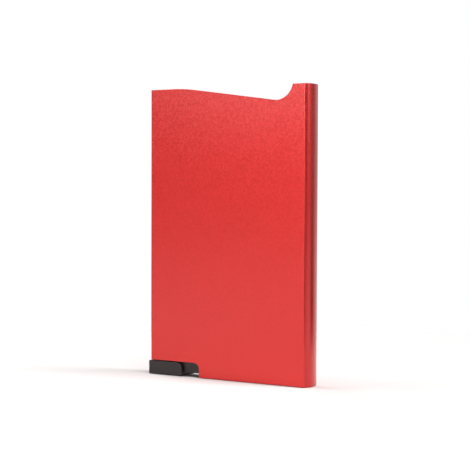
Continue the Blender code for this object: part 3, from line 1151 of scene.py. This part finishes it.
@dataclass(frozen=True)
class LightPanel:
    """A bright area of the studio's surroundings, with soft borders.

    Angles are in degrees. Headings turn from the front of the case towards its right side.
    """

    name: str
    heading: float
    half_width: float
    low: float
    high: float
    strength: float
    softness: float = 3.0


@dataclass(frozen=True)
class Softbox:
    """A square light that stands near the case and faces it. Angles are in degrees."""

    heading: float
    power: float
    rise: float = 50.0
    distance: float = 0.6
    size: float = 0.5


@dataclass(frozen=True)
class Studio:
    """A white floor, soft light and the camera of the photograph."""

    picture_width: int = 470
    sensor_width: float = 36.0
    focal_pixels: float = 1312.8
    camera_turn: float = math.radians(32.258)
    camera_pitch: float = math.radians(1.921)
    camera_roll: float = math.radians(0.187)
    camera_distance: float = 440.97 * MM
    camera_height: float = 63.368 * MM
    camera_aside: float = 1.07 * MM
    camera_near_share: float = 0.01
    aim_height: float = 50.0 * MM
    floor_size: float = 0.6
    floor_drop: float = 0.15 * MM
    floor_colour: Colour = (0.93, 0.912, 0.9, 1.0)
    floor_fade: tuple[float, float] = (0.1, 0.2)
    wall_light: float = 0.02
    panels: tuple[LightPanel, ...] = (
        LightPanel("front softbox", heading=-24, half_width=10, low=4, high=9, softness=2, strength=3.5),
        LightPanel("its left glow", heading=-36, half_width=6, low=4, high=12, strength=1.5),
        LightPanel("its right glow", heading=-12, half_width=6, low=4, high=12, strength=8.7),
        LightPanel("left strip", heading=-64, half_width=12, low=-1, high=7, softness=5, strength=2.5),
        LightPanel("front wall", heading=8, half_width=14, low=-1, high=7, softness=4, strength=0.8),
        LightPanel("front right wall", heading=46, half_width=14, low=-10, high=20, softness=6, strength=0.8),
        LightPanel("right strip, low end", heading=109, half_width=9, low=4, high=20, strength=2.3),
        LightPanel("right strip", heading=104, half_width=12, low=25, high=75, softness=8, strength=4.4),
        LightPanel("back right wall", heading=138, half_width=18, low=-2, high=20, softness=4, strength=0.4),
        LightPanel("back wall", heading=172, half_width=14, low=-2, high=20, softness=8, strength=0.7),
        LightPanel("table in front", heading=-32, half_width=30, low=-60, high=-2, strength=1.25),
        LightPanel("table at the front right", heading=70, half_width=20, low=-60, high=-2, strength=0.7),
        LightPanel("table at the right", heading=110, half_width=15, low=-60, high=-2, strength=1.1),
        LightPanel("table behind", heading=180, half_width=35, low=-60, high=-2, strength=0.7),
    )
    softboxes: tuple[Softbox, ...] = (
        Softbox(heading=75, power=2.65),
        Softbox(heading=-85, power=2.9),
    )

    def add_camera(self) -> None:
        """Put the camera where the photograph was taken from."""
        sine, cosine = math.sin(self.camera_turn), math.cos(self.camera_turn)
        data = bpy.data.cameras.new("camera")
        data.sensor_width = self.sensor_width
        data.lens = self.focal_pixels * self.sensor_width / self.picture_width
        data.clip_start = self.camera_distance * self.camera_near_share
        camera = bpy.data.objects.new("camera", data)
        bpy.context.scene.collection.objects.link(camera)
        place = Vector((self.camera_aside * cosine + self.camera_distance * sine,
                        self.camera_aside * sine - self.camera_distance * cosine,
                        self.camera_height))
        heading = Matrix.Rotation(self.camera_turn, 4, "Z")
        tilt = Matrix.Rotation(QUARTER_TURN - self.camera_pitch, 4, "X")
        roll = Matrix.Rotation(self.camera_roll, 4, "Z")
        camera.matrix_world = Matrix.Translation(place) @ heading @ tilt @ roll
        bpy.context.scene.camera = camera

    def add_floor(self) -> None:
        """Lay a plain white floor just under the case, which fades into the white surroundings."""
        bm = bmesh.new()
        bmesh.ops.create_grid(bm, x_segments=1, y_segments=1, size=self.floor_size / 2)
        mesh = bpy.data.meshes.new("floor")
        bm.to_mesh(mesh)
        bm.free()
        floor = bpy.data.objects.new("floor", mesh)
        floor.location.z = -self.floor_drop
        bpy.context.scene.collection.objects.link(floor)
        paper = bpy.data.materials.new("white paper")
        paper.use_nodes = True
        wiring = Wiring(paper.node_tree)
        diffuse = wiring.add("ShaderNodeBsdfDiffuse", {"Color": self.floor_colour}).outputs[0]
        clear = wiring.add("ShaderNodeBsdfTransparent").outputs[0]
        away = wiring.vector_maths("LENGTH", wiring.object_place())["Value"]
        fade = wiring.span(away, *self.floor_fade, curve="SMOOTHSTEP")
        shader = wiring.add("ShaderNodeMixShader", {0: fade, 1: diffuse, 2: clear}).outputs[0]
        wiring.add("ShaderNodeOutputMaterial", {"Surface": shader})
        mesh.materials.append(paper)

    def panel_light(self, wiring: Wiring, panel: LightPanel, level: bpy.types.NodeSocket,
                    rise: bpy.types.NodeSocket) -> bpy.types.NodeSocket:
        """How much light a panel sends from a direction.

        Args:
            wiring: The world's node tree.
            panel: The panel.
            level: The direction laid level, as a unit vector.
            rise: The direction's angle above the horizon, in radians.

        Returns:
            The light.
        """
        heading = math.radians(panel.heading)
        towards = (math.sin(heading), -math.cos(heading), 0)
        alike = wiring.vector_maths("DOT_PRODUCT", level, towards)["Value"]
        outer = math.cos(math.radians(panel.half_width + panel.softness))
        inner = math.cos(math.radians(max(0, panel.half_width - panel.softness)))
        within = wiring.span(alike, outer, inner, curve="SMOOTHSTEP")
        low, high, soft = (math.radians(x) for x in (panel.low, panel.high, panel.softness))
        above = wiring.span(rise, low - soft, low + soft, curve="SMOOTHSTEP")
        below = wiring.span(rise, high + soft, high - soft, curve="SMOOTHSTEP")
        share = wiring.maths("MULTIPLY", wiring.maths("MULTIPLY", within, above), below)
        light = wiring.maths("MULTIPLY", share, panel.strength)
        light.node.label = panel.name
        return light

    def add_walls(self) -> None:
        """Surround the set with dim walls and bright panels, while the camera itself sees plain white."""
        world = bpy.data.worlds.new("studio")
        bpy.context.scene.world = world
        world.use_nodes = True
        wiring = Wiring(world.node_tree)
        direction = wiring.add("ShaderNodeTexCoord").outputs["Generated"]
        flat = wiring.vector_maths("MULTIPLY", direction, (1, 1, 0))[0]
        level = wiring.vector_maths("NORMALIZE", flat)[0]
        up = wiring.add("ShaderNodeSeparateXYZ", {"Vector": direction}).outputs["Z"]
        rise = wiring.maths("ARCSINE", up)
        light: bpy.types.NodeSocket | float = self.wall_light
        for panel in self.panels:
            light = wiring.maths("ADD", light, self.panel_light(wiring, panel, level, rise))
        seen = wiring.add("ShaderNodeLightPath").outputs["Is Camera Ray"]
        strength = wiring.add("ShaderNodeMix", {"Factor": seen, "A": light, "B": 1.0}).outputs[0]
        background = wiring.add("ShaderNodeBackground", {"Color": WHITE, "Strength": strength}).outputs[0]
        wiring.add("ShaderNodeOutputWorld", {"Surface": background})

    def add_softbox(self, softbox: Softbox) -> None:
        """Stand a softbox where its angles say, facing the middle of the case.

        Args:
            softbox: The softbox.
        """
        data = bpy.data.lights.new("softbox", "AREA")
        data.size = softbox.size
        data.energy = softbox.power
        lamp = bpy.data.objects.new("softbox", data)
        turn = Matrix.Rotation(math.radians(softbox.heading), 4, "Z")
        tilt = Matrix.Rotation(QUARTER_TURN - math.radians(softbox.rise), 4, "X")
        out = Matrix.Translation((0, 0, softbox.distance))
        lamp.matrix_world = Matrix.Translation((0, 0, self.aim_height)) @ turn @ tilt @ out
        bpy.context.scene.collection.objects.link(lamp)

    def build(self) -> None:
        """Set up the whole studio."""
        bpy.context.scene.view_settings.view_transform = "Standard"
        self.add_camera()
        self.add_floor()
        self.add_walls()
        for softbox in self.softboxes:
            self.add_softbox(softbox)


def main() -> None:
    """Build the studio and every piece of the card holder in its place."""
    logging.basicConfig(level=logging.INFO, format="%(name)s: %(message)s")
    Studio().build()
    tube = CaseTube.from_frame()
    places = Mechanism.from_frame(tube)
    shell = Shell(tube)
    shell.build(RED_ALUMINIUM)
    Base(places).build(BASE_PLASTIC)
    Lever(places, shell.notch_height).build(LEVER_PLASTIC)
    PivotPin(places).build(PIN_STEEL)
    strips = GripStrip(places)
    strips.build(Side.LEFT, "lip_strip_left", "grip_strip_left", STRIP_RUBBER)
    strips.build(Side.RIGHT, "lip_strip_right", "grip_strip_right", STRIP_RUBBER)


if __name__ == "__main__":
    main()
